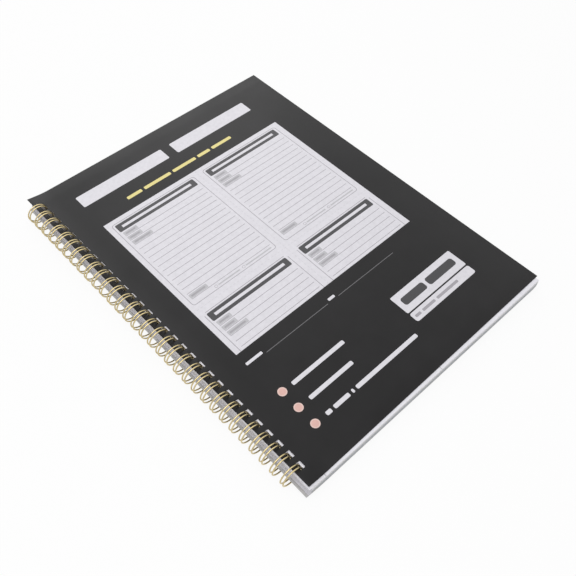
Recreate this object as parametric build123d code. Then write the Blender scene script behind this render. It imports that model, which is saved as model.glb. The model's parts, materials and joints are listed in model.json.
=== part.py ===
from build123d import *
import math
import os

# Duplicate memo book bound with a twin-loop wire: black card cover, grey back board, and sets of one
# white original over one yellow copy. Millimetres, +Z up, lying shut on a table at Z = 0 with its
# spine along Y, the rings towards -X and the head towards +Y.

# Leaves
book_width = 209.55
book_height = 279.4
set_count = 50
named_sets = 10
sheet_thickness = 0.065
sheet_air = 0.01
cover_thickness = 0.35
cover_overhang = 1.0
board_thickness = 0.8

# Wire
wire_diameter = 0.9
ring_bore = 12.7
loop_pitch = 25.4 / 3
strand_spacing = 2.2
root_bend = 1.25
seam_gap = 0.6

# Punched holes and the scored strip that rises over the wire
end_margin = 12.0
hole_margin = 2.6
hole_across = 3.6
hole_along = 5.4
hole_clearance = 0.2
score_distance = 11.0
strip_rise = 2 * wire_diameter

# How far each leaf hangs across its play on the wire: 0 at the spine side, 1 at the fore-edge side
cover_share = 0.5
top_sheet_share = 0.0
board_share = 0.9
# Degrees that the cover lies askew on the wire, its head end nearer to the spine side
cover_askew = 0.35
# The play along the spine that is used: the cover slips to the head, the leaves under it to the foot
slip_share = 0.72

wire_radius = wire_diameter / 2
ring_radius = ring_bore / 2 + wire_radius
axis_height = ring_radius + wire_radius
loop_count = int((book_height - 2 * end_margin) / loop_pitch) + 1
loop_places = [(n - (loop_count - 1) / 2) * loop_pitch for n in range(loop_count)]
sheet_step = sheet_thickness + sheet_air
sheet_count = 2 * set_count
slip = slip_share * ((hole_along - strand_spacing - wire_diameter) / 2 - hole_clearance)


def strip_height(offset):
    """Height of a leaf's punched strip over its flat panel, at an offset from the spine edge."""
    return strip_rise * (1 - offset / score_distance)


def spine_edge(under, thickness, share):
    """X of a leaf's spine edge from the ring axis, so that its holes clear the wire at its height."""
    inner = ring_radius - wire_radius - hole_clearance
    outer = ring_radius + wire_radius + hole_clearance
    far_side = hole_margin + hole_across
    near_low = under + strip_height(hole_margin) - axis_height
    far_low = under + strip_height(far_side) - axis_height
    near_most = max(abs(near_low), abs(near_low + thickness))
    far_least = min(abs(far_low), abs(far_low + thickness))
    if far_low < 0 < far_low + thickness:
        far_least = 0
    most = math.sqrt(inner**2 - near_most**2) - hole_margin
    least = math.sqrt(outer**2 - far_least**2) - far_side
    return least + share * (most - least)


def leaf(thickness, overhang=0):
    """One punched leaf: a flat panel whose strip beyond the score rises towards the spine.

    A leaf with an overhang reaches past the sheets' spine edges by that much.
    """
    edge_height = strip_height(-overhang)
    profile = [
        (book_width, 0, 0),
        (score_distance, 0, 0),
        (-overhang, 0, edge_height),
        (-overhang, 0, edge_height + thickness),
        (score_distance, 0, thickness),
        (book_width, 0, thickness),
    ]
    outline = make_face(Polyline(*profile, close=True))
    blank = extrude(outline, amount=book_height / 2, dir=(0, 1, 0), both=True)
    punch = Box(hole_across, hole_along, 2 * (strip_rise + thickness))
    middle = hole_margin + hole_across / 2
    return blank - [Pos(middle, y, strip_rise) * punch for y in loop_places]


def ring_point(angle, y):
    """Point on the wire's line round the ring, at an angle in degrees from +X towards +Z."""
    turn = math.radians(angle)
    return Vector(ring_radius * math.cos(turn), y, axis_height + ring_radius * math.sin(turn))


def ring_heading(angle):
    """Unit direction along the ring as the angle grows."""
    turn = math.radians(angle)
    return Vector(-math.sin(turn), 0, math.cos(turn))


def strand(start, end, y):
    """One strand round the ring, as four equal arcs."""
    stops = [start + (end - start) * n / 4 for n in range(5)]
    arcs = []
    for a, b in zip(stops, stops[1:]):
        arcs.append(ThreePointArc(ring_point(a, y), ring_point((a + b) / 2, y), ring_point(b, y)))
    return arcs


def quarter(start, first, last, radius):
    """Quarter turn from a point, leaving along one direction and ending along another."""
    share = math.sqrt(0.5)
    middle = start + first * (radius * share) + last * (radius * (1 - share))
    return ThreePointArc(start, middle, start + (first + last) * radius)


def wire_line():
    """Centre line of the whole wire: out to each tip, back to the root and across to the next loop."""
    along = Vector(0, 1, 0)
    tip_bend = strand_spacing / 2
    half_gap = (seam_gap + wire_diameter) / 2
    root_angle = 270
    tip_angle = root_angle - 360 + math.degrees((root_bend + 2 * half_gap + tip_bend) / ring_radius)
    to_tip = -ring_heading(tip_angle)
    to_root = ring_heading(root_angle)
    line = []
    for n, y in enumerate(loop_places):
        first_y = y - strand_spacing / 2
        last_y = y + strand_spacing / 2
        line += strand(root_angle, tip_angle, first_y)
        tip = ring_point(tip_angle, y) + to_tip * tip_bend
        line.append(ThreePointArc(ring_point(tip_angle, first_y), tip, ring_point(tip_angle, last_y)))
        line += strand(tip_angle, root_angle, last_y)
        if n + 1 < loop_count:
            leave = quarter(ring_point(root_angle, last_y), to_root, along, root_bend)
            next_start = ring_point(root_angle, loop_places[n + 1] - strand_spacing / 2)
            corner = next_start + (to_root - along) * root_bend
            line += [leave, Line(leave @ 1, corner), quarter(corner, along, -to_root, root_bend)]
    return line


def least_gap(line):
    """Least clear gap between stretches of the wire that aren't neighbours along it, on points."""
    step = wire_diameter / 2
    points = []
    run = 0
    for piece in line:
        count = max(2, int(piece.length / step))
        for n in range(count):
            points.append((run + piece.length * n / count, piece @ (n / count)))
        run += piece.length
    near = 4 * wire_diameter
    gap = math.inf
    for i, (place, point) in enumerate(points):
        for other_place, other in points[i + 1:]:
            if other_place - place > near:
                gap = min(gap, (other - point).length)
    return gap - wire_diameter


def twin_loop_wire():
    """The wire, swept as one tube."""
    line = wire_line()
    period = len(line) // loop_count + 1
    print("least gap of the wire to itself", round(least_gap(line[: 2 * period]), 2), "mm")
    section = Plane(origin=line[0] @ 0, z_dir=line[0] % 0) * Circle(wire_radius)
    return Solid.sweep(section.face(), Wire(line))


os.makedirs("parts", exist_ok=True)

sheet = leaf(sheet_thickness)
stack_start = board_thickness + sheet_air
cover_under = stack_start + sheet_count * sheet_step
cover_edge = spine_edge(cover_under, cover_thickness, cover_share)
cover_reach = cover_edge + book_width
turn = math.radians(cover_askew)
most_x = cover_reach * math.cos(turn) + (book_height / 2 - slip) * math.sin(turn)
most_y = cover_reach * math.sin(turn) + (book_height / 2 + slip) * math.cos(turn)
middle_x = (most_x - ring_radius - wire_radius) / 2
middle_y = (most_y - book_height / 2 - slip) / 2


def write(name, shape):
    """Writes one node, moved so that the origin is under the middle of the book."""
    export_step(Pos(-middle_x, -middle_y, 0) * shape, f"parts/{name}.step", write_pcurves=False)


def placed_sheet(level):
    """A sheet at its level in the stack, counted from the board."""
    under = stack_start + level * sheet_step
    depth = 1 - (level + 0.5) / sheet_count
    share = top_sheet_share + (board_share - top_sheet_share) * depth**2
    return Pos(spine_edge(under, sheet_thickness, share), -slip, under) * sheet


def white_sheet(number):
    return placed_sheet(2 * (set_count - number) + 1)


def yellow_sheet(number):
    return placed_sheet(2 * (set_count - number))


flat_cover = Pos(cover_edge, slip, cover_under) * leaf(cover_thickness, cover_overhang)
write("front_cover", Rot(0, 0, cover_askew) * flat_cover)
write("back_board", Pos(spine_edge(0, board_thickness, board_share), -slip, 0) * leaf(board_thickness))
write("wire_binding", twin_loop_wire())

for number in range(1, named_sets + 1):
    write(f"white_sheet_{number:02d}", white_sheet(number))
    write(f"yellow_sheet_{number:02d}", yellow_sheet(number))

other_sets = range(named_sets + 1, set_count + 1)
write("white_sheets_remaining", Compound([white_sheet(number) for number in other_sets]))
write("yellow_sheets_remaining", Compound([yellow_sheet(number) for number in other_sets]))
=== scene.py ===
"""Looks of a wire-bound duplicate memo book: card cover, printed sheets, grey board and gold wire."""
import json
import math

import bmesh
import bpy
from bpy.props import FloatProperty, FloatVectorProperty, IntProperty, PointerProperty
from mathutils import Matrix, Quaternion, Vector


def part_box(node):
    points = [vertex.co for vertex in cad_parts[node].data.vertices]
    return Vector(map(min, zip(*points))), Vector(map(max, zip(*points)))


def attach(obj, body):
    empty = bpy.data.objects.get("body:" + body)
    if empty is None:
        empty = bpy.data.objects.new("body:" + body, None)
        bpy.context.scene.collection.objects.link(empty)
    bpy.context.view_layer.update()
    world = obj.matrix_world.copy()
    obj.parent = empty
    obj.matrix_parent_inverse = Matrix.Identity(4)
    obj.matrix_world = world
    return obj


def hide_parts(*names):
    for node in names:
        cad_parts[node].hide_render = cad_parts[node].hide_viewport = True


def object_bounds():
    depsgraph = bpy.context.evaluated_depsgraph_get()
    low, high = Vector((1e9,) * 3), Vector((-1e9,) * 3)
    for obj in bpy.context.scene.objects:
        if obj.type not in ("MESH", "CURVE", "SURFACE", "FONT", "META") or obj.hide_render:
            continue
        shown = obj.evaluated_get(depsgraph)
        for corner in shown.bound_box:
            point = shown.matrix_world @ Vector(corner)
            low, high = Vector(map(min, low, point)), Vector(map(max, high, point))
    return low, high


bl_info = {
    "name": "Duplicate Memo Book",
    "version": (1, 0, 0),
    "blender": (4, 5, 0),
    "location": "3D View > Sidebar > Memo Book",
    "description": "Dresses the packed memo book with card, paper, print and wire",
    "category": "Object",
}

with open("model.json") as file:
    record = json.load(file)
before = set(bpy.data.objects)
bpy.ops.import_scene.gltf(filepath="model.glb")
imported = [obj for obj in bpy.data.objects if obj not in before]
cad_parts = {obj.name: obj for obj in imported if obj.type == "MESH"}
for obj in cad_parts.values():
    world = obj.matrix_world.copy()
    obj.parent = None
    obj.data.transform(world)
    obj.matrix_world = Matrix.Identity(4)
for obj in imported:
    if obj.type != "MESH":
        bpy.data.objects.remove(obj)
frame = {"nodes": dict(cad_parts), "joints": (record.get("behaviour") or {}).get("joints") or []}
CAD_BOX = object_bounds()
MM = 0.001
COVER_LOW = Vector(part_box("front_cover")[0])
RING_AXIS = Vector(frame["joints"][0]["pos_m"])
WHITE_SHEETS = sorted(name for name in frame["nodes"] if name.startswith("white_sheet"))
YELLOW_SHEETS = sorted(name for name in frame["nodes"] if name.startswith("yellow_sheet"))


def length(name, description, millimetres):
    """A length property whose default is given in millimetres."""
    return FloatProperty(
        name=name, description=description, default=millimetres * MM, unit="LENGTH", precision=5
    )


def colour(name, description, *channels):
    """A colour property."""
    return FloatVectorProperty(
        name=name, description=description, default=channels, subtype="COLOR", min=0, max=1
    )


def position(name, description, *metres):
    """A property for a point in the scene."""
    return FloatVectorProperty(
        name=name, description=description, default=metres, subtype="XYZ", unit="LENGTH"
    )


def turn(name, description, degrees):
    """An angle property whose default is given in degrees."""
    return FloatProperty(
        name=name, description=description, default=math.radians(degrees), subtype="ANGLE"
    )


def amount(name, description, value, **limits):
    """A plain number property that isn't below nought."""
    return FloatProperty(name=name, description=description, default=value, min=0, **limits)


class MemoLeafSettings(bpy.types.PropertyGroup):
    """Sizes of a punched leaf."""

    width: length("Width", "Size of a leaf across the spine", 209.55)
    height: length("Height", "Size of a leaf along the spine", 279.4)
    askew: turn("Askew", "Turn of the cover on the wire", 0.35)
    card_thickness: length("Card", "Thickness of the front cover", 0.35)
    overhang: length("Overhang", "How far the cover reaches past the sheets at the spine", 1.0)
    score: length("Score", "Distance of the bend from the spine edge", 11.0)
    rise: length("Rise", "How far the punched strip rises at the spine edge", 1.8)
    bend: length("Bend", "Half the width over which the card bends", 5.0)
    hole_margin: length("Hole margin", "Card between the spine edge and a hole", 2.6)
    hole_across: length("Hole across", "Size of a hole across the spine", 3.35)
    hole_along: length("Hole along", "Size of a hole along the spine", 4.6)
    rim: length("Rim", "Rounding of the cut edges", 0.06)
    card_black: colour("Card black", "Printed face of the cover", 0.0085, 0.008, 0.0086)
    card_core: colour("Card core", "Unprinted inside of the cover", 0.55, 0.54, 0.53)


class MemoPaperSettings(bpy.types.PropertyGroup):
    """Finish of the sheets and of the board, with painted light and shade on the sheets' edges."""

    white: colour("White", "White original sheets", 0.80, 0.79, 0.84)
    yellow: colour("Yellow", "Yellow copy sheets", 0.82, 0.74, 0.42)
    board: colour("Board", "Grey back board", 0.52, 0.515, 0.51)
    # Painted light and shade: the upper sheets' edges are painted paler as if lit, and the lower ones
    # greyer as if in shade.
    edge_pale_painted_light: colour("Edge above", "Tone of the upper sheets' cut edges", 0.86, 0.85, 0.89)
    edge_grey_painted_shade: colour("Edge below", "Tone of the lower sheets' cut edges", 0.43, 0.455, 0.495)
    # Painted light and shade at the spine: the edges there are painted lighter as if lit from that side,
    # and the margins darker than the face as if shaded.
    edge_spine_painted_light_and_shade: colour("Edge at the spine", "Tone of the stepped edges at the spine", 0.70, 0.69, 0.73)
    # Top of the zone that takes the painted spine tone.
    step_limit: length("Step limit", "Top of the stepped edges, over the flat sheets", 1.3)


class MemoPrintSettings(bpy.types.PropertyGroup):
    """Places of the print, from the spine and foot edges, and its inks."""

    film: length("Film", "Thickness of the ink film on the cover", 0.02)
    sheet_film: length("Sheet film", "Thickness of the ink film on a sheet", 0.003)
    panel_left: length("Panel left", "Panel's spine side", 24.5)
    panel_right: length("Panel right", "Panel's fore-edge side", 183.4)
    panel_foot: length("Panel foot", "Panel's foot side", 88.1)
    panel_head: length("Panel head", "Panel's head side", 225.5)
    form_left: length("Form left", "Spine side of the first form's outline", 28.1)
    form_head: length("Form head", "Head side of the first form's outline", 221.9)
    form_width: length("Form width", "Width of a form's outline", 71.5)
    form_pitch_across: length("Pitch across", "From form to form across the page", 79.25)
    form_pitch_down: length("Pitch down", "From form to form down the page", 97.4)
    rule_pitch: length("Rule pitch", "From rule to rule in a form", 5.01)
    white: colour("White", "White ink", 0.72, 0.705, 0.75)
    grey: colour("Grey", "Rules and outlines", 0.37, 0.355, 0.385)
    pale: colour("Pale", "Drawn perforations", 0.635, 0.62, 0.66)
    tab: colour("Tab", "Shaded label tabs", 0.50, 0.495, 0.52)
    dark: colour("Dark", "Header bars", 0.045, 0.044, 0.048)
    yellow: colour("Yellow", "Yellow line", 0.78, 0.68, 0.26)
    pink: colour("Pink", "Round marks", 0.73, 0.45, 0.40)
    pink_rim: colour("Pink rim", "Rim of the round marks", 0.77, 0.56, 0.51)
    faint: colour("Faint", "Write-in lines on the black", 0.16, 0.157, 0.165)


class MemoWireSettings(bpy.types.PropertyGroup):
    """Sizes and finish of the twin-loop wire."""

    diameter: length("Wire", "Diameter of the wire", 0.9)
    bore: length("Bore", "Inside diameter of a ring", 12.7)
    pitch: length("Pitch", "From ring to ring", 25.4 / 3)
    strand_spacing: length("Strands", "Between the two strands of a ring", 2.2)
    root_bend: length("Root bend", "Radius of the bends at the root", 1.25)
    seam_gap: length("Seam", "Gap between a ring's tip and the root", 0.6)
    count: IntProperty(name="Rings", description="Number of double rings", default=31, min=1)
    sides: IntProperty(name="Sides", description="Sides of the wire's section", default=12, min=6)
    gold: colour("Gold", "Coated wire", 0.61, 0.505, 0.275)


class MemoStageSettings(bpy.types.PropertyGroup):
    """Camera, lights and floor."""

    place: position("Camera", "Camera's place", -0.20931, -0.22568, 0.37681)
    target: position("Target", "Point at the picture's middle", -0.01876, -0.0358, 0.00866)
    roll: turn("Roll", "Camera's roll", 2.49)
    lens: FloatProperty(
        name="Lens", description="Focal length on a 36 mm sensor", default=44.41,
        subtype="DISTANCE_CAMERA"
    )
    floor: colour("Floor", "Pale floor", 0.9, 0.9, 0.9)
    floor_gap: length("Floor gap", "Air between the floor and the book", 0.3)
    floor_glow: amount("Floor glow", "Share of plain white in the floor that is seen", 0.88, max=1)
    world: amount("World", "Strength of the even light", 0.56)
    key: amount("Key", "Power of the large soft light", 4.5, unit="POWER")
    key_size: length("Key size", "Width of the large soft light", 900)
    key_place: position("Key place", "Place of the large soft light", -0.35, -0.15, 0.95)
    sheen: amount("Sheen", "Power of the light behind the head", 2.3, unit="POWER")
    sheen_size: length("Sheen size", "Width of the light behind the head", 800)
    sheen_place: position("Sheen place", "Place of the light behind the head", 0.38, 0.74, 0.6)


# Materials

# Sockets of the mix node that hold its two colours and their result
FIRST_COLOUR = 6
SECOND_COLOUR = 7
MIXED_COLOUR = 2


class Finish:
    """A material under construction: a Principled shader and what feeds it."""

    def __init__(self, name, roughness, metallic=0.0):
        self.material = bpy.data.materials.new(name)
        self.material.use_nodes = True
        self.tree = self.material.node_tree
        self.shader = self.tree.nodes["Principled BSDF"]
        self.shader.inputs["Roughness"].default_value = roughness
        self.shader.inputs["Metallic"].default_value = metallic
        self.place = self.tree.nodes.new("ShaderNodeTexCoord")

    def node(self, kind, **values):
        """A node whose attributes or input sockets take the given values."""
        made = self.tree.nodes.new(kind)
        for name, value in values.items():
            if hasattr(made, name):
                setattr(made, name, value)
            else:
                made.inputs[name.replace("_", " ")].default_value = value
        return made

    def link(self, source, target):
        """Joins an output socket to an input socket."""
        self.tree.links.new(source, target)

    def part(self, kind, axis):
        """One part of the piece's own coordinates or of its normal."""
        parts = self.node("ShaderNodeSeparateXYZ")
        self.link(self.place.outputs[kind], parts.inputs[0])
        return parts.outputs[axis]

    def calculate(self, operation, *values):
        """The result of one operation on sockets and numbers."""
        made = self.node("ShaderNodeMath", operation=operation)
        for socket, value in zip(made.inputs, values):
            if isinstance(value, bpy.types.NodeSocket):
                self.link(value, socket)
            else:
                socket.default_value = value
        return made.outputs[0]

    def noise(self, scale, detail, stretch=None):
        """Noise on the piece's own coordinates, with one scale or a stretched one."""
        texture = self.node("ShaderNodeTexNoise", Scale=scale, Detail=detail)
        source = self.place.outputs["Object"]
        if stretch:
            mapping = self.node("ShaderNodeMapping", Scale=stretch)
            self.link(source, mapping.inputs["Vector"])
            source = mapping.outputs["Vector"]
        self.link(source, texture.inputs["Vector"])
        return texture.outputs["Fac"]

    def spread(self, source, low, high, start=0.3, end=0.7):
        """A value, which is noise unless its range is given, brought to another range."""
        spread = self.node("ShaderNodeMapRange")
        for socket, value in zip(("From Min", "From Max", "To Min", "To Max"), (start, end, low, high)):
            spread.inputs[socket].default_value = value
        self.link(source, spread.inputs["Value"])
        return spread.outputs["Result"]

    def shade(self, base, factor):
        """A colour, or a colour socket, multiplied by a factor socket."""
        mix = self.node("ShaderNodeMix", data_type="RGBA", blend_type="MULTIPLY")
        mix.inputs["Factor"].default_value = 1.0
        if isinstance(base, bpy.types.NodeSocket):
            self.link(base, mix.inputs[FIRST_COLOUR])
        else:
            mix.inputs[FIRST_COLOUR].default_value = (*base, 1)
        self.link(factor, mix.inputs[SECOND_COLOUR])
        return mix.outputs[MIXED_COLOUR]

    def between(self, factor, first, second):
        """A mix of two colours by a factor socket."""
        mix = self.node("ShaderNodeMix", data_type="RGBA")
        self.link(factor, mix.inputs["Factor"])
        for number, value in ((FIRST_COLOUR, first), (SECOND_COLOUR, second)):
            if isinstance(value, bpy.types.NodeSocket):
                self.link(value, mix.inputs[number])
            else:
                mix.inputs[number].default_value = (*value, 1)
        return mix.outputs[MIXED_COLOUR]

    def feed(self, socket, source):
        """Feeds one of the shader's inputs."""
        self.link(source, self.shader.inputs[socket])

    def bump(self, height, strength, distance):
        """Roughens the surface by a height socket."""
        bump = self.node("ShaderNodeBump", Strength=strength, Distance=distance)
        self.link(height, bump.inputs["Height"])
        self.feed("Normal", bump.outputs["Normal"])


def card_black(base):
    """Black print under a satin film, with faint handling marks and a fine grain."""
    finish = Finish("card_black", roughness=0.36)
    finish.shader.inputs["Specular IOR Level"].default_value = 0.25
    mottle = finish.spread(finish.noise(scale=55, detail=4), low=0.82, high=1.2)
    finish.feed("Base Color", finish.shade(base, mottle))
    handling = finish.noise(scale=18, detail=5)
    finish.feed("Roughness", finish.spread(handling, low=0.33, high=0.43))
    finish.bump(finish.noise(scale=1500, detail=2), strength=0.12, distance=0.04 * MM)
    return finish.material


def card_core(base):
    """Unprinted side of the card: pale pulp with a soft grain."""
    finish = Finish("card_core", roughness=0.8)
    pulp = finish.spread(finish.noise(scale=900, detail=4), low=0.9, high=1.05)
    finish.feed("Base Color", finish.shade(base, pulp))
    finish.bump(finish.noise(scale=1200, detail=3), strength=0.25, distance=0.05 * MM)
    return finish.material


def ink(name, base):
    """One printed ink: slightly uneven laydown under the same satin film."""
    finish = Finish(name, roughness=0.4)
    laydown = finish.spread(finish.noise(scale=420, detail=3), low=0.95, high=1.03)
    finish.feed("Base Color", finish.shade(base, laydown))
    finish.feed("Roughness", finish.spread(finish.noise(scale=60, detail=3), low=0.36, high=0.46))
    return finish.material


def paper(name, base, settings, spine_line):
    """Carbonless paper: fine fibres on its face, and layered cut edges with painted shade that grows
    greyer down the stack and painted light near its top.

    At the spine the lower sheets step out, and there the edges and margins have one tone of painted
    light and shade.
    """
    finish = Finish(name, roughness=0.82)
    fibres = finish.spread(finish.noise(scale=700, detail=5), low=0.95, high=1.04)
    face = finish.shade(base, fibres)
    x = finish.part("Object", "X")
    z = finish.part("Object", "Z")
    # Painted shade greys the cut edges low in the stack, and painted light makes them paler near the
    # top.
    painted_shade_up_to = 0.45 * COVER_LOW.z
    painted_light_from = 0.85 * COVER_LOW.z
    height = finish.spread(z, low=0, high=1, start=painted_shade_up_to, end=painted_light_from)
    tone = finish.between(height, settings.edge_grey_painted_shade, settings.edge_pale_painted_light)
    # Painted light and shade: on the spine side the edges take one painted tone.
    spine = finish.calculate("LESS_THAN", x, spine_line)
    tone = finish.between(spine, tone, settings.edge_spine_painted_light_and_shade)
    flat_layers = (6, 6, 5200)
    layers = finish.noise(scale=1, detail=3, stretch=flat_layers)
    edges = finish.shade(tone, finish.spread(layers, low=0.8, high=1.15))
    upright = finish.calculate("ABSOLUTE", finish.part("Normal", "Z"))
    steep = 0.5
    cut = finish.calculate("LESS_THAN", upright, steep)
    # The spine side's margins, below the step limit, take the same painted tone as its edges.
    low_down = finish.calculate("LESS_THAN", z, COVER_LOW.z + settings.step_limit)
    stepped = finish.calculate("MULTIPLY", low_down, spine)
    edge = finish.calculate("MAXIMUM", cut, stepped)
    # Cut edges and spine margins show the painted edge tone over the layered stripes.
    finish.feed("Base Color", finish.between(edge, face, edges))
    finish.bump(finish.noise(scale=1600, detail=4), strength=0.2, distance=0.03 * MM)
    return finish.material


def grey_board(base):
    """Raw greyboard: mixed pulp with darker and paler flecks."""
    finish = Finish("grey_board", roughness=0.88)
    pulp = finish.shade(base, finish.spread(finish.noise(scale=350, detail=6), low=0.86, high=1.12))
    flecks = finish.spread(finish.noise(scale=2600, detail=2), low=0.85, high=1.1)
    finish.feed("Base Color", finish.shade(pulp, flecks))
    finish.bump(finish.noise(scale=800, detail=5), strength=0.35, distance=0.08 * MM)
    return finish.material


def gold_wire(base):
    """Pale gold coat on drawn wire, a little uneven in gloss."""
    finish = Finish("gold_wire", roughness=0.28, metallic=1.0)
    coat = finish.spread(finish.noise(scale=260, detail=3), low=0.88, high=1.1)
    finish.feed("Base Color", finish.shade(base, coat))
    finish.feed("Roughness", finish.spread(finish.noise(scale=500, detail=3), low=0.16, high=0.27))
    return finish.material


# Making pieces

def dress(node, material):
    """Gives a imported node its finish."""
    slots = frame["nodes"][node].data.materials
    slots.clear()
    slots.append(material)


def finished(mesh, name, body, materials, replaced=()):
    """Turns a mesh under construction into a piece that moves with a body."""
    data = bpy.data.meshes.new(name)
    mesh.to_mesh(data)
    mesh.free()
    for material in materials:
        data.materials.append(material)
    piece = bpy.data.objects.new(name, data)
    bpy.context.scene.collection.objects.link(piece)
    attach(piece, body)
    if replaced:
        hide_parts(*replaced)
    return piece


def raise_faces(mesh, height):
    """Gives flat or bent faces a thickness, straight up."""
    raised = bmesh.ops.extrude_face_region(mesh, geom=mesh.faces[:], use_keep_orig=True)
    tops = [part for part in raised["geom"] if isinstance(part, bmesh.types.BMVert)]
    bmesh.ops.translate(mesh, vec=(0, 0, height), verts=tops)
    bmesh.ops.recalc_face_normals(mesh, faces=mesh.faces[:])


def ring_radius(wire):
    """Radius of the wire's centre line round a ring."""
    return (wire.bore + wire.diameter) / 2


def ring_root(wire):
    """Lowest point of a ring's centre line, where the wire crosses to the next ring."""
    return RING_AXIS - Vector((0, 0, ring_radius(wire)))


def loop_places(wire):
    """Places of the rings along the spine."""
    return [RING_AXIS.y + (n - (wire.count - 1) / 2) * wire.pitch for n in range(wire.count)]


def cover_corner(leaf):
    """Where the cover's overhang starts at the foot edge, on its underside."""
    along = Vector((math.cos(leaf.askew), math.sin(leaf.askew), 0))
    return COVER_LOW + Vector((leaf.height * math.sin(leaf.askew), 0, 0)) + along * leaf.overhang


def lay_askew(mesh, leaf):
    """Turns what was made square to the spine as the cover lies."""
    bmesh.ops.rotate(
        mesh, cent=cover_corner(leaf), matrix=Matrix.Rotation(leaf.askew, 3, "Z"), verts=mesh.verts[:]
    )


class MEMO_OT_front_cover(bpy.types.Operator):
    """Bend and punch the cover card"""

    bl_idname = "memo_book.front_cover"
    bl_label = "Front Cover"

    def execute(self, context):
        leaf = context.scene.memo_leaf
        mesh = bmesh.new()
        self.cut(mesh, leaf, loop_places(context.scene.memo_wire))
        self.bend(mesh, leaf)
        raise_faces(mesh, leaf.card_thickness)
        square = math.radians(60)
        rim = [edge for edge in mesh.edges if edge.calc_face_angle(0) > square]
        bmesh.ops.bevel(
            mesh, geom=rim, offset=leaf.rim, segments=2, profile=0.5, affect="EDGES", material=-1,
            clamp_overlap=True
        )
        facing_down = -0.7
        for face in mesh.faces:
            face.material_index = 1 if face.normal.z < facing_down else 0
        lay_askew(mesh, leaf)
        materials = [card_black(leaf.card_black), card_core(leaf.card_core)]
        card = finished(mesh, "cover_card", "cover", materials, ["front_cover"])
        card.data.shade_smooth()
        card.data.set_sharp_from_angle(angle=math.radians(35))
        return {"FINISHED"}

    def cut(self, mesh, leaf, places):
        """The flat card with its row of holes."""
        corner = cover_corner(leaf)
        middle = corner + Vector(((leaf.width - leaf.overhang) / 2, leaf.height / 2, 0))
        size = Matrix.Diagonal((leaf.width + leaf.overhang, leaf.height, 1, 1))
        place = Matrix.Translation(middle) @ size
        bmesh.ops.create_grid(mesh, x_segments=1, y_segments=1, size=0.5, matrix=place)
        near = corner.x + leaf.hole_margin
        far = near + leaf.hole_across
        bend_start = leaf.score - leaf.bend
        bend_steps = 10
        across = [near, far]
        across += [corner.x + bend_start + 2 * leaf.bend * n / bend_steps for n in range(bend_steps + 1)]
        for x in across:
            self.slice(mesh, (x, 0, 0), (1, 0, 0))
        holes = [(y - leaf.hole_along / 2, y + leaf.hole_along / 2) for y in places]
        for low, high in holes:
            self.slice(mesh, (0, low, 0), (0, 1, 0))
            self.slice(mesh, (0, high, 0), (0, 1, 0))
        punched = []
        for face in mesh.faces:
            spot = face.calc_center_median()
            if near < spot.x < far and any(low < spot.y < high for low, high in holes):
                punched.append(face)
        bmesh.ops.delete(mesh, geom=punched, context="FACES")

    def slice(self, mesh, point, normal):
        """Adds a line of edges across the whole card."""
        parts = mesh.verts[:] + mesh.edges[:] + mesh.faces[:]
        bmesh.ops.bisect_plane(mesh, geom=parts, plane_co=point, plane_no=normal)

    def bend(self, mesh, leaf):
        """Lifts the punched strip, with a round bend at the score."""
        slope = leaf.rise / leaf.score
        edge = cover_corner(leaf).x
        for vertex in mesh.verts:
            past = leaf.score - (vertex.co.x - edge)
            if past >= leaf.bend:
                vertex.co.z += slope * past
            elif past > -leaf.bend:
                vertex.co.z += slope * (past + leaf.bend) ** 2 / (4 * leaf.bend)


class Sheet:
    """Print on one flat face: bars, frames and rings of ink, each on a layer over the paper."""

    def __init__(self, origin, film, scale=1.0):
        self.mesh = bmesh.new()
        self.origin = Vector(origin)
        self.film = film
        self.scale = scale

    def at(self, x, y, layer):
        """A point of the print in the scene."""
        return self.origin + Vector((x * self.scale, y * self.scale, layer * self.film))

    def bar(self, left, foot, right, head, ink_number, layer, corner=0.0):
        """A filled bar, with round corners if a radius is given."""
        size = Matrix.Diagonal(((right - left) * self.scale, (head - foot) * self.scale, 1, 1))
        place = Matrix.Translation(self.at((left + right) / 2, (foot + head) / 2, layer)) @ size
        made = bmesh.ops.create_grid(self.mesh, x_segments=1, y_segments=1, size=0.5, matrix=place)
        faces = set(made["verts"][0].link_faces)
        if corner:
            rounded = bmesh.ops.bevel(
                self.mesh, geom=made["verts"], offset=corner * self.scale, segments=4, profile=0.5,
                affect="VERTICES", material=-1
            )
            faces = {face for vertex in rounded["verts"] for face in vertex.link_faces}
        for face in faces:
            face.material_index = ink_number
        return list(faces)

    def hollow(self, faces, width):
        """Leaves only a line of the given width along the outline of the faces."""
        bmesh.ops.inset_region(
            self.mesh, faces=faces, thickness=width * self.scale, use_boundary=True, use_even_offset=True
        )
        bmesh.ops.delete(self.mesh, geom=faces, context="FACES")

    def disc(self, x, y, radius, ink_number, layer):
        """A filled disc."""
        place = Matrix.Translation(self.at(x, y, layer))
        made = bmesh.ops.create_circle(
            self.mesh, cap_ends=True, segments=32, radius=radius * self.scale, matrix=place
        )
        faces = list(set(made["verts"][0].link_faces))
        for face in faces:
            face.material_index = ink_number
        return faces

    def row(self, left, foot, head, ends, ink_number, layer, gap=2.2 * MM):
        """A row of plain round-cornered bars, each ending at a given distance from the left."""
        corner = 0.3 * (head - foot)
        start = left
        for end in ends:
            self.bar(start, foot, left + end, head, ink_number, layer, corner)
            start = left + end + gap


INKS = ("white", "grey", "pale", "tab", "dark", "yellow", "pink", "pink_rim", "faint")
WHITE, GREY, PALE, TAB, DARK, YELLOW, PINK, PINK_RIM, FAINT = range(len(INKS))


def inks(settings):
    """The print's inks, each made once."""
    made = []
    for name in INKS:
        label = f"ink_{name}"
        made.append(bpy.data.materials.get(label) or ink(label, getattr(settings, name)))
    return made


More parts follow.
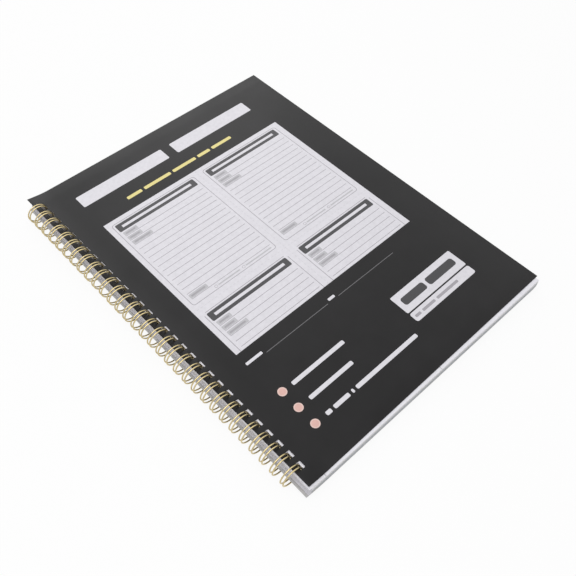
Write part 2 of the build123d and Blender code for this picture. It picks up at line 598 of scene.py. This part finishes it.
def form(sheet, settings, left, head, rules, foot_limit):
    """One ruled form: outline, header, label tabs, rules and tick rings, cut off at the foot limit."""
    right = left + settings.form_width
    rule_left = left + 1.9 * MM
    rule_right = right - 2.3 * MM
    first_rule = head - 13.9 * MM
    last_rule = first_rule - (rules - 1) * settings.rule_pitch
    foot = last_rule - 5.0 * MM
    form_outline(sheet, left, foot, right, head, foot_limit)
    form_header(sheet, rule_left, rule_right, head)
    tab_lengths = {0: 10.9, 1: 10.9, 2: 15.9, rules - 1: 14.2}
    for number in range(rules):
        level = first_rule - number * settings.rule_pitch
        if level >= foot_limit:
            form_rule(sheet, rule_left + 0.7 * MM, rule_right, level, tab_lengths.get(number))
    tick_level = last_rule - 2.5 * MM
    if tick_level > foot_limit:
        form_ticks(sheet, rule_left, tick_level)


def form_outline(sheet, left, foot, right, head, foot_limit):
    """A round-cornered line round the form, or three sides of it where the foot is cut off."""
    line = 0.45 * MM
    corner = 2.2 * MM
    if foot > foot_limit:
        sheet.hollow(sheet.bar(left, foot, right, head, GREY, 1, corner), line)
    else:
        sheet.bar(left, foot_limit, left + line, head - corner, GREY, 1)
        sheet.bar(right - line, foot_limit, right, head - corner, GREY, 1)
        sheet.bar(left + corner, head - line, right - corner, head, GREY, 1)


def form_header(sheet, left, right, head):
    """A dark bar across the head of the form, with a plain pale line along it."""
    bar_head = head - 1.5 * MM
    bar_foot = head - 8.8 * MM
    middle = (bar_foot + bar_head) / 2
    inset = 4 * MM
    half_line = 1.1 * MM
    sheet.bar(left, bar_foot, right, bar_head, DARK, 1, corner=1.0 * MM)
    sheet.bar(left + inset, middle - half_line, right - inset, middle + half_line, WHITE, 2)


def form_rule(sheet, left, right, level, tab_length):
    """One rule, with a shaded label tab on it if a length is given."""
    half_line = 0.2 * MM
    if tab_length:
        tab_end = left + tab_length * MM
        sheet.bar(left, level + 0.5 * MM, tab_end, level + 3.9 * MM, TAB, 1, corner=0.4 * MM)
        label_left = left + 1.4 * MM
        label_right = tab_end - 1.8 * MM
        sheet.bar(label_left, level + 1.5 * MM, label_right, level + 2.7 * MM, GREY, 2)
    sheet.bar(left, level - half_line, right, level + half_line, GREY, 1)


def form_ticks(sheet, left, level):
    """Two tick rings with a plain line after each."""
    radius = 1.15 * MM
    ring_line = 0.25 * MM
    half_line = 0.5 * MM
    for offset, line_length in ((18.6, 18.0), (42.0, 22.5)):
        middle = left + offset * MM
        start = middle + 2.0 * MM
        sheet.hollow(sheet.disc(middle, level, radius, GREY, 1), ring_line)
        sheet.bar(start, level - half_line, start + line_length * MM, level + half_line, TAB, 1)


def dashes(sheet, start, end, across, upright, ink_number, layer):
    """A perforation line of short dashes, upright or lying."""
    dash = 1.6 * MM
    gap = 1.4 * MM
    half = 0.2 * MM
    place = start
    while place + dash < end:
        if upright:
            sheet.bar(across - half, place, across + half, place + dash, ink_number, layer)
        else:
            sheet.bar(place, across - half, place + dash, across + half, ink_number, layer)
        place += dash + gap


class MEMO_OT_cover_print(bpy.types.Operator):
    """Print the cover: ruled panel, plain title lines, marks and label boxes"""

    bl_idname = "memo_book.cover_print"
    bl_label = "Cover Print"

    def execute(self, context):
        settings = context.scene.memo_print
        leaf = context.scene.memo_leaf
        face = cover_corner(leaf) + Vector((0, 0, leaf.card_thickness))
        sheet = Sheet(face, settings.film)
        self.panel(sheet, settings)
        self.title(sheet)
        self.marks(sheet)
        self.labels(sheet)
        raise_faces(sheet.mesh, settings.film)
        lay_askew(sheet.mesh, leaf)
        finished(sheet.mesh, "cover_print", "cover", inks(settings))
        return {"FINISHED"}

    def panel(self, sheet, settings):
        """A white panel with four forms, the lower two cut off at its foot."""
        sheet.bar(
            settings.panel_left, settings.panel_foot, settings.panel_right, settings.panel_head, WHITE, 0
        )
        rules = 15
        for column in range(2):
            for row in range(2):
                left = settings.form_left + column * settings.form_pitch_across
                head = settings.form_head - row * settings.form_pitch_down
                form(sheet, settings, left, head, rules, settings.panel_foot)
        middle = settings.form_left + (settings.form_width + settings.form_pitch_across) / 2
        between_rows = settings.form_head - settings.form_pitch_down + 4.4 * MM
        dashes(sheet, settings.panel_foot, settings.panel_head, middle, True, PALE, 1)
        dashes(sheet, settings.panel_left, settings.panel_right, between_rows, False, PALE, 1)

    def title(self, sheet):
        """Two plain bars and a broken yellow line under them."""
        foot = 248.4 * MM
        head = 260.0 * MM
        for left, right in ((25.0, 99.0), (107.0, 179.0)):
            sheet.bar(left * MM, foot, right * MM, head, WHITE, 0, corner=1.0 * MM)
        ends = [end * MM for end in (12.5, 38.0, 61.0, 74.5, 95.0)]
        line = {"left": 51.8 * MM, "foot": 234.2 * MM, "head": 237.0 * MM}
        sheet.row(ends=ends, ink_number=YELLOW, layer=0, **line)

    def marks(self, sheet):
        """Write-in lines, and three round marks with plain bars beside them."""
        label_foot = 78.2 * MM
        label_head = 80.2 * MM
        line_foot = 77.1 * MM
        line_head = 77.5 * MM
        # Left side, label's length and line's end of each write-in line, in millimetres
        for left, label, end in ((24.5, 12.8, 67.3), (93.9, 5.6, 59.7)):
            sheet.row(left * MM, label_foot, label_head, [label * MM], WHITE, 0)
            line_left = left + label + 1.8
            sheet.bar(line_left * MM, line_foot, (left + end) * MM, line_head, FAINT, 0)
        mark_middle = 28.0 * MM
        rim_radius = 2.95 * MM
        mark_radius = 2.25 * MM
        # Height, left side and bars' ends of each row, in millimetres
        rows = ((51.5, 35.8, (43.2,)), (37.9, 36.7, (35.8,)), (24.3, 36.7, (4.2, 19.0, 22.9, 79.0)))
        for height, left, ends in rows:
            level = height * MM
            bar_foot = level - 1.6 * MM
            bar_head = level + 1.2 * MM
            bar_ends = [end * MM for end in ends]
            sheet.disc(mark_middle, level, rim_radius, PINK_RIM, 0)
            sheet.disc(mark_middle, level, mark_radius, PINK, 1)
            sheet.row(left * MM, bar_foot, bar_head, bar_ends, WHITE, 0)

    def labels(self, sheet):
        """Two white label boxes, each with a row of plain bars."""
        left = 123.6 * MM
        box = {"left": left, "ink_number": WHITE, "layer": 0}
        sheet.bar(foot=38.0 * MM, right=182.5 * MM, head=53.4 * MM, corner=0.9 * MM, **box)
        sheet.bar(foot=29.7 * MM, right=182.4 * MM, head=36.9 * MM, corner=1.6 * MM, **box)
        upper = {"left": left + 4 * MM, "foot": 42.6 * MM, "head": 48.8 * MM, "gap": 2.5 * MM}
        lower = {"left": left + 2 * MM, "foot": 32.3 * MM, "head": 34.3 * MM, "gap": 2 * MM}
        upper_ends = [end * MM for end in (21.5, 51.0)]
        lower_ends = [end * MM for end in (5, 19, 42)]
        sheet.row(ends=upper_ends, ink_number=DARK, layer=1, **upper)
        sheet.row(ends=lower_ends, ink_number=GREY, layer=1, **lower)


class MEMO_OT_sheets(bpy.types.Operator):
    """Finish the white and yellow sheets, with painted light and shade on their edges"""

    bl_idname = "memo_book.sheets"
    bl_label = "Sheets"

    def execute(self, context):
        settings = context.scene.memo_paper
        spine_line = cover_corner(context.scene.memo_leaf).x
        # Both papers carry painted light and shade on their edges.
        white = paper("white_paper_with_painted_edge_shade", settings.white, settings, spine_line)
        yellow = paper("yellow_paper_with_painted_edge_shade", settings.yellow, settings, spine_line)
        for node in WHITE_SHEETS:
            dress(node, white)
        for node in YELLOW_SHEETS:
            dress(node, yellow)
        return {"FINISHED"}


class MEMO_OT_sheet_forms(bpy.types.Operator):
    """Print the forms on the white sheets that show when the book opens"""

    bl_idname = "memo_book.sheet_forms"
    bl_label = "Sheet Forms"

    def execute(self, context):
        for node, body in (("white_sheet_01", "first_set"), ("white_sheet_02", "block")):
            self.print_page(context.scene, node, body)
        return {"FINISHED"}

    def print_page(self, scene, node, body):
        """Four forms on one page, with perforations between them and along the spine."""
        settings = scene.memo_print
        low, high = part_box(node)
        face = high.z - scene.memo_leaf.rise
        scale = 1.25
        rules = 18
        sheet = Sheet((low.x, low.y, face), settings.sheet_film, scale)
        width = (high.x - low.x) / scale
        height = (high.y - low.y) / scale
        score = scene.memo_leaf.score / scale
        middle = (score + width) / 2
        side_margin = 4 * MM
        head_margin = 4.5 * MM
        tear_line = score + 1.2 * MM
        for column in range(2):
            for row in range(2):
                left = score + side_margin + column * (middle - score)
                head = height - head_margin - row * height / 2
                form(sheet, settings, left, head, rules, foot_limit=0)
        dashes(sheet, 0, height, middle, True, TAB, 0)
        dashes(sheet, 0, height, tear_line, True, TAB, 0)
        dashes(sheet, score, width, height / 2, False, TAB, 0)
        raise_faces(sheet.mesh, settings.sheet_film)
        finished(sheet.mesh, f"{node}_print", body, inks(settings))


class MEMO_OT_back_board(bpy.types.Operator):
    """Finish the grey back board"""

    bl_idname = "memo_book.back_board"
    bl_label = "Back Board"

    def execute(self, context):
        dress("back_board", grey_board(context.scene.memo_paper.board))
        return {"FINISHED"}


class MEMO_OT_wire_binding(bpy.types.Operator):
    """Bend one double ring and its link, and join copies of them into the wire"""

    bl_idname = "memo_book.wire_binding"
    bl_label = "Wire Binding"

    def execute(self, context):
        wire = context.scene.memo_wire
        ring = self.shape(wire, -wire.strand_spacing / 2, self.ring)
        link = self.shape(wire, wire.strand_spacing / 2, self.link)
        places = loop_places(wire)
        mesh = bmesh.new()
        for y in places:
            self.copy(mesh, ring, y)
        for y in places[:-1]:
            self.copy(mesh, link, y)
        for stretch in (ring, link):
            bpy.data.meshes.remove(stretch)
        touching = 0.005 * MM
        bmesh.ops.remove_doubles(mesh, verts=mesh.verts[:], dist=touching)
        bmesh.ops.holes_fill(mesh, edges=[edge for edge in mesh.edges if edge.is_boundary], sides=0)
        bmesh.ops.recalc_face_normals(mesh, faces=mesh.faces[:])
        piece = finished(
            mesh, "twin_loop_wire", "block", [gold_wire(wire.gold)], ["wire_binding"]
        )
        piece.data.shade_smooth()
        piece.data.set_sharp_from_angle(angle=math.radians(50))
        return {"FINISHED"}

    def shape(self, wire, start, bend):
        """A stretch of open tube that starts at the root, as a mesh to copy."""
        mesh = bmesh.new()
        root = ring_root(wire)
        section = Matrix.Translation((root.x, start, root.z)) @ Matrix.Rotation(math.pi / 2, 4, "Y")
        bmesh.ops.create_circle(mesh, segments=wire.sides, radius=wire.diameter / 2, matrix=section)
        bend(mesh, wire, mesh.edges[:])
        data = bpy.data.meshes.new("stretch")
        mesh.to_mesh(data)
        mesh.free()
        return data

    def copy(self, mesh, stretch, y):
        """Adds a stretch of wire at a place along the spine."""
        first = len(mesh.verts)
        mesh.from_mesh(stretch)
        mesh.verts.ensure_lookup_table()
        bmesh.ops.translate(mesh, vec=(0, y, 0), verts=mesh.verts[first:])

    def carry(self, mesh, end, centre, axis, angle, steps):
        """Carries the tube's open end round a bend and returns the new end."""
        bent = bmesh.ops.spin(mesh, geom=end, cent=centre, axis=axis, angle=angle, steps=steps)
        return [part for part in bent["geom_last"] if isinstance(part, bmesh.types.BMEdge)]

    def ring(self, mesh, wire, end):
        """One double ring: out along a strand, round the tip and back."""
        radius = ring_radius(wire)
        strand_steps = 40
        tip_steps = 8
        spare = wire.root_bend + wire.seam_gap + wire.diameter + wire.strand_spacing / 2
        sweep = 2 * math.pi - spare / radius
        end = self.carry(mesh, end, RING_AXIS, (0, 1, 0), sweep, strand_steps)
        tip_angle = math.radians(270) - sweep
        outwards = Vector((math.cos(tip_angle), 0, math.sin(tip_angle)))
        tip = RING_AXIS + outwards * radius
        end = self.carry(mesh, end, (tip.x, 0, tip.z), outwards, math.pi, tip_steps)
        self.carry(mesh, end, RING_AXIS, (0, -1, 0), sweep, strand_steps)

    def link(self, mesh, wire, end):
        """The root between two rings: a bend, a straight and a bend back."""
        root = ring_root(wire)
        bend_steps = 5
        quarter = math.pi / 2
        leave = wire.strand_spacing / 2 + wire.root_bend
        arrive = wire.pitch - leave
        end = self.carry(mesh, end, (root.x, leave, root.z), (0, 0, 1), quarter, bend_steps)
        straight = bmesh.ops.extrude_edge_only(mesh, edges=end)["geom"]
        moved = [part for part in straight if isinstance(part, bmesh.types.BMVert)]
        bmesh.ops.translate(mesh, vec=(0, arrive - leave, 0), verts=moved)
        end = [part for part in straight if isinstance(part, bmesh.types.BMEdge)]
        end = [edge for edge in end if all(vertex in moved for vertex in edge.verts)]
        self.carry(mesh, end, (root.x, arrive, root.z), (0, 0, 1), quarter, bend_steps)


class MEMO_OT_stage(bpy.types.Operator):
    """Set the floor, the lights, the world and the camera"""

    bl_idname = "memo_book.stage"
    bl_label = "Stage"

    def execute(self, context):
        stage = context.scene.memo_stage
        self.floor(context.scene, stage)
        self.world(context.scene, stage)
        self.light(context.scene, "key_light", stage.key, stage.key_size, stage.key_place)
        self.light(context.scene, "sheen_light", stage.sheen, stage.sheen_size, stage.sheen_place)
        self.camera(context.scene, stage)
        context.scene.view_settings.view_transform = "Standard"
        return {"FINISHED"}

    def seen(self, tree):
        """One for rays from the camera, from gloss and through glass, and otherwise nought."""
        path = tree.nodes.new("ShaderNodeLightPath")
        most = path.outputs["Is Camera Ray"]
        for name in ("Is Glossy Ray", "Is Transmission Ray"):
            larger = tree.nodes.new("ShaderNodeMath")
            larger.operation = "MAXIMUM"
            tree.links.new(most, larger.inputs[0])
            tree.links.new(path.outputs[name], larger.inputs[1])
            most = larger.outputs[0]
        return most

    def floor(self, scene, stage):
        """A pale floor that keeps the shadow and is otherwise seen as white."""
        mesh = bmesh.new()
        half_width = 2.0
        level = Matrix.Translation((0, 0, CAD_BOX[0].z - stage.floor_gap))
        bmesh.ops.create_grid(mesh, x_segments=1, y_segments=1, size=half_width, matrix=level)
        data = bpy.data.meshes.new("floor")
        mesh.to_mesh(data)
        mesh.free()
        material = bpy.data.materials.new("pale_floor")
        material.use_nodes = True
        tree = material.node_tree
        shader = tree.nodes["Principled BSDF"]
        shader.inputs["Base Color"].default_value = (*stage.floor, 1)
        shader.inputs["Roughness"].default_value = 0.9
        glow = tree.nodes.new("ShaderNodeEmission")
        share = tree.nodes.new("ShaderNodeMath")
        share.operation = "MULTIPLY"
        share.inputs[1].default_value = stage.floor_glow
        tree.links.new(self.seen(tree), share.inputs[0])
        mix = tree.nodes.new("ShaderNodeMixShader")
        tree.links.new(share.outputs[0], mix.inputs[0])
        tree.links.new(shader.outputs[0], mix.inputs[1])
        tree.links.new(glow.outputs[0], mix.inputs[2])
        tree.links.new(mix.outputs[0], tree.nodes["Material Output"].inputs["Surface"])
        data.materials.append(material)
        floor = bpy.data.objects.new("floor", data)
        scene.collection.objects.link(floor)

    def world(self, scene, stage):
        """Even light all round, seen as white."""
        world = bpy.data.worlds.new("studio")
        world.use_nodes = True
        tree = world.node_tree
        ground = tree.nodes["Background"]
        ground.inputs["Color"].default_value = (1, 1, 1, 1)
        strength = tree.nodes.new("ShaderNodeMapRange")
        strength.inputs["To Min"].default_value = stage.world
        strength.inputs["To Max"].default_value = 1.0
        tree.links.new(self.seen(tree), strength.inputs["Value"])
        tree.links.new(strength.outputs["Result"], ground.inputs["Strength"])
        scene.world = world

    def light(self, scene, name, power, size, place):
        """A square light that faces the book's middle."""
        data = bpy.data.lights.new(name, "AREA")
        data.energy = power
        data.size = size
        lamp = bpy.data.objects.new(name, data)
        lamp.location = place
        lamp.rotation_mode = "QUATERNION"
        lamp.rotation_quaternion = (-Vector(place)).to_track_quat("-Z", "Y")
        scene.collection.objects.link(lamp)

    def camera(self, scene, stage):
        """The photo's camera."""
        data = bpy.data.cameras.new("camera")
        data.lens = stage.lens
        data.sensor_width = 36.0
        data.clip_start = 0.01
        camera = bpy.data.objects.new("camera", data)
        camera.location = stage.place
        aim = (Vector(stage.target) - Vector(stage.place)).to_track_quat("-Z", "Y")
        camera.rotation_mode = "QUATERNION"
        camera.rotation_quaternion = aim @ Quaternion((0, 0, 1), stage.roll)
        scene.collection.objects.link(camera)
        scene.camera = camera


class MEMO_PT_panel(bpy.types.Panel):
    """Lists the pieces of the memo book"""

    bl_label = "Memo Book"
    bl_idname = "MEMO_PT_panel"
    bl_space_type = "VIEW_3D"
    bl_region_type = "UI"
    bl_category = "Memo Book"

    def draw(self, context):
        for operator in OPERATORS:
            self.layout.operator(operator.bl_idname)


SETTINGS = {
    "memo_leaf": MemoLeafSettings,
    "memo_paper": MemoPaperSettings,
    "memo_print": MemoPrintSettings,
    "memo_wire": MemoWireSettings,
    "memo_stage": MemoStageSettings,
}
OPERATORS = (
    MEMO_OT_back_board,
    MEMO_OT_sheets,
    MEMO_OT_sheet_forms,
    MEMO_OT_front_cover,
    MEMO_OT_cover_print,
    MEMO_OT_wire_binding,
    MEMO_OT_stage,
)


def register():
    for kind in (*SETTINGS.values(), *OPERATORS, MEMO_PT_panel):
        bpy.utils.register_class(kind)
    for name, kind in SETTINGS.items():
        setattr(bpy.types.Scene, name, PointerProperty(type=kind))


def unregister():
    for name in SETTINGS:
        delattr(bpy.types.Scene, name)
    for kind in reversed((*SETTINGS.values(), *OPERATORS, MEMO_PT_panel)):
        bpy.utils.unregister_class(kind)


def main():
    """Builds every piece in order."""
    register()
    bpy.ops.memo_book.back_board()
    bpy.ops.memo_book.sheets()
    bpy.ops.memo_book.sheet_forms()
    bpy.ops.memo_book.front_cover()
    bpy.ops.memo_book.cover_print()
    bpy.ops.memo_book.wire_binding()
    bpy.ops.memo_book.stage()


if __name__ == "__main__":
    main()
